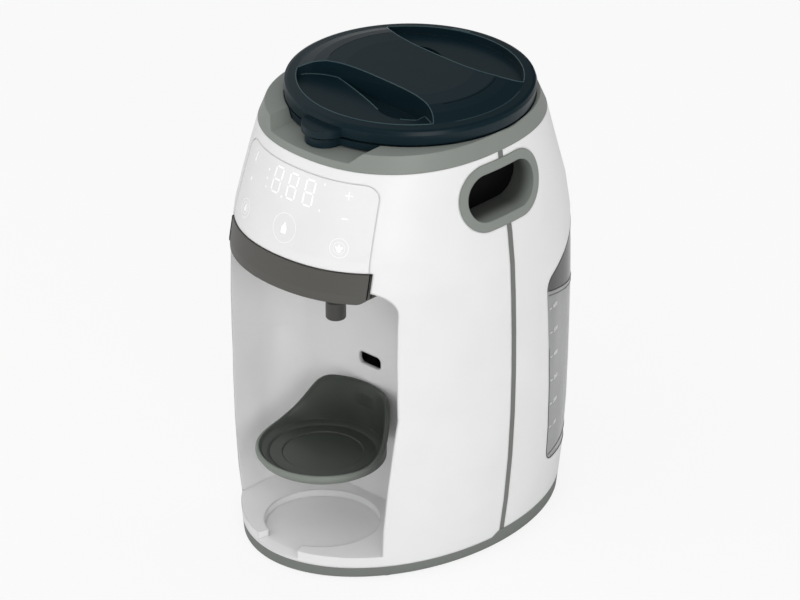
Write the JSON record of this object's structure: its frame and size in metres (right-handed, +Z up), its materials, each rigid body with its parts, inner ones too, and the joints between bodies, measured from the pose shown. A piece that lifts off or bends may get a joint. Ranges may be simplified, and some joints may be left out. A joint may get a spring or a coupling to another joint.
{
  "type": "baby formula maker",
  "caption": "Countertop infant formula maker: mixes powder from a lidded hopper with warmed tank water and pours it into a bottle on a stand.",
  "frame": {"origin": "middle of the underside of the feet, under the middle of the overall size", "axes": "+Z up; the bottle bay and control panel face -Y, the water tank +Y; +X is the machine's side on the viewer's right"},
  "size_m": [0.2154, 0.2617, 0.343],
  "materials": {
    "white_plastic": "satin moulded",
    "panel_white": "smooth",
    "base_grey": "satin moulded",
    "trim_grey": "satin moulded",
    "collar_grey": "satin moulded",
    "container_grey": "satin moulded",
    "lid_dark": "smooth, slightly clear",
    "funnel_grey": "satin moulded",
    "stand_dark": "smooth, slightly clear",
    "tank_smoke": "clear smoke",
    "tank_dark": "dark smoke",
    "black_plastic": "moulded",
    "inner_white": "moulded",
    "gear_white": "moulded",
    "motor_steel": "plain",
    "circuit_green": "coated",
    "hose_silicone": "soft",
    "foot_rubber": "matt"
  },
  "bodies": {
    "housing": {"front_shell": "white_plastic", "rear_shell": "white_plastic", "base_pan": "base_grey", "seam_strip_left": "trim_grey", "seam_strip_right": "trim_grey", "grip_bezel_left": "collar_grey", "grip_pocket_left": "black_plastic", "grip_bezel_right": "collar_grey", "grip_pocket_right": "black_plastic", "control_panel": "panel_white", "display_board": "circuit_green", "top_collar": "collar_grey", "gear_motor": "motor_steel", "funnel_guide": "inner_white", "inner_frame": "inner_white", "water_heater": "motor_steel", "water_pump": "black_plastic", "suction_tube": "hose_silicone", "pump_tube": "hose_silicone", "dosing_tube": "hose_silicone", "main_board": "circuit_green", "tank_socket": "black_plastic", "power_inlet": "black_plastic", "rubber_feet": "foot_rubber"},
    "container": {"powder_container": "container_grey", "container_rim": "stand_dark", "container_base": "container_grey"},
    "wheel": {"wheel_shaft": "motor_steel", "metering_wheel": "inner_white", "stirrer": "inner_white", "wheel_gear": "gear_white"},
    "pinion": {"drive_pinion": "gear_white"},
    "seal": {"lid_seal": "hose_silicone"},
    "lid": {"powder_lid": "lid_dark"},
    "drawer": {"funnel_cover": "funnel_grey", "funnel_tray": "funnel_grey", "mixing_funnel": "funnel_grey", "funnel_spout": "funnel_grey"},
    "stand": {"bottle_stand": "stand_dark"},
    "tank": {"water_tank": "tank_smoke", "tank_lid": "tank_dark", "tank_valve": "black_plastic"}
  },
  "joints": [
    {"name": "container_lift", "type": "slide", "parent": "housing", "child": "container", "axis": [0, 0, 1], "range_m": [0, 0.1]},
    {"name": "wheel_spin", "type": "hinge", "parent": "container", "child": "wheel", "pos_m": [0, 0.0094, 0.244], "axis": [0, 0, 1], "continuous": true},
    {"name": "pinion_spin", "type": "hinge", "parent": "housing", "child": "pinion", "pos_m": [0.0315, 0.0094, 0.244], "axis": [0, 0, 1], "continuous": true},
    {"name": "seal_lift", "type": "slide", "parent": "container", "child": "seal", "axis": [0, 0, 1], "range_m": [0, 0.04]},
    {"name": "lid_twist", "type": "hinge", "parent": "seal", "child": "lid", "pos_m": [0, 0.0094, 0.3251], "axis": [0, 0, 1], "range_deg": [0, 30]},
    {"name": "drawer_slide", "type": "slide", "parent": "housing", "child": "drawer", "axis": [0, -1, 0], "range_m": [0, 0.1]},
    {"name": "stand_slide", "type": "slide", "parent": "housing", "child": "stand", "axis": [0, -1, 0], "range_m": [0, 0.06]},
    {"name": "tank_slide", "type": "slide", "parent": "housing", "child": "tank", "axis": [0, 1, 0], "range_m": [0, 0.12]}
  ],
  "couplings": [
    {"joint": "pinion_spin", "follows": "wheel_spin", "ratio": -2}
  ]
}
